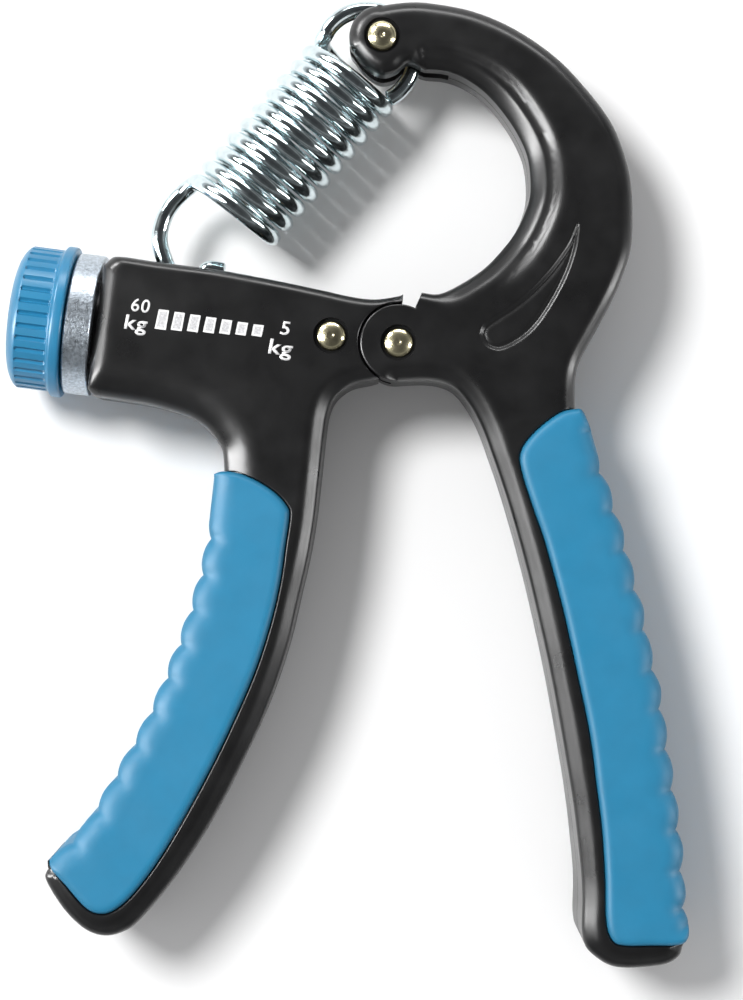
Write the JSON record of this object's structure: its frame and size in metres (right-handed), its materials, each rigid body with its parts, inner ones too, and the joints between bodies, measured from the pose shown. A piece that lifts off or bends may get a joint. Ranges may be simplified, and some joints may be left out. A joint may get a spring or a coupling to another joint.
{
  "type": "hand grip strengthener",
  "caption": "Sprung two-handle hand exerciser: the handles pivot on a rivet against a coil spring, and an end knob sets the load.",
  "frame": {"origin": "the centre of the object's footprint (the middle of its bounding box in X and Y), in the plane of the grip pads' rear faces, which is the plane the object lies on; the pivot rivet's axis is at X +8.78 mm, Y +21.92 mm", "axes": "+Y from the grips up through the pivot towards the spring end, +X towards the moving handle, +Z along the pivot rivet out of the face that carries the load scale"},
  "size_m": [0.111, 0.1576, 0.025],
  "materials": {
    "case_plastic": "satin, fine moulded texture",
    "pad_rubber": "soft matte",
    "knob_plastic": "satin, ribbed",
    "collar_metal": "brushed",
    "rivet_metal": "pale yellow plated, smooth",
    "spring_wire": "bright zinc",
    "plated_steel": "bright zinc",
    "bush_bronze": "plain",
    "slider_plastic": "matte"
  },
  "bodies": {
    "left_handle": {"left_shell_front": "case_plastic", "left_shell_rear": "case_plastic", "left_grip_pad": "pad_rubber", "barrel_collar": "collar_metal", "left_rivet": "rivet_metal", "pivot_rivet": "rivet_metal", "hinge_tongue": "plated_steel", "thrust_washer": "plated_steel", "screw_end_bush": "bush_bronze", "left_case_screw_1": "plated_steel", "left_case_screw_2": "plated_steel", "left_case_screw_3": "plated_steel", "left_case_screw_4": "plated_steel"},
    "knob_assembly": {"knob": "knob_plastic", "lead_screw": "plated_steel", "screw_clip": "plated_steel"},
    "slider": {"slider_nut": "slider_plastic", "hook_pin": "plated_steel"},
    "right_handle": {"right_shell_front": "case_plastic", "right_shell_rear": "case_plastic", "right_grip_pad": "pad_rubber", "eye_rivet": "rivet_metal", "pivot_bush": "bush_bronze", "right_case_screw_1": "plated_steel", "right_case_screw_2": "plated_steel", "right_case_screw_3": "plated_steel", "right_case_screw_4": "plated_steel"},
    "spring_eye": {"eye_bush": "bush_bronze"},
    "spring_top": {"spring_upper": "spring_wire"},
    "spring_mid": {"spring_lower": "spring_wire"},
    "spring_foot": {"spring_hook": "spring_wire"}
  },
  "joints": [
    {"name": "squeeze", "type": "hinge", "parent": "left_handle", "child": "right_handle", "pos_m": [0.00878, 0.02192, 0.0125], "axis": [0, 0, -1], "range_deg": [0, 32]},
    {"name": "knob_turn", "type": "hinge", "parent": "left_handle", "child": "knob_assembly", "pos_m": [-0.05372, 0.02699, 0.0125], "axis": [-0.9912, 0.1323, 0], "range_deg": [-721, 1261]},
    {"name": "slider_travel", "type": "slide", "parent": "left_handle", "child": "slider", "axis": [0.9912, -0.1323, 0], "range_m": [-0.004, 0.007]},
    {"name": "eye_swing", "type": "hinge", "parent": "right_handle", "child": "spring_eye", "pos_m": [0.00618, 0.07202, 0.0125], "axis": [0, 0, 1], "range_deg": [-0.5, 10.5]},
    {"name": "spring_swing", "type": "hinge", "parent": "spring_eye", "child": "spring_top", "pos_m": [0.00618, 0.07202, 0.0125], "axis": [0, 0, 1], "range_deg": [-4.2, 7.2]},
    {"name": "spring_stretch", "type": "slide", "parent": "spring_top", "child": "spring_mid", "axis": [-0.6363, -0.7715, 0], "range_m": [-0.0005, 0.018], "deforming": ["spring_upper", "spring_lower"]},
    {"name": "hook_reach", "type": "slide", "parent": "spring_mid", "child": "spring_foot", "axis": [-0.6363, -0.7715, 0], "range_m": [-0.0036, 0.0021], "deforming": ["spring_hook"]}
  ],
  "couplings": [
    {"joint": "knob_turn", "follows": "slider_travel", "rad_per_m": 3141.6},
    {"joint": "spring_swing", "follows": "slider_travel", "rad_per_m": 17.453},
    {"joint": "hook_reach", "follows": "slider_travel", "ratio": -0.5},
    {"joint": "eye_swing", "follows": "squeeze", "ratio": 0.318},
    {"joint": "spring_stretch", "follows": "squeeze", "m_per_rad": 0.0312}
  ]
}
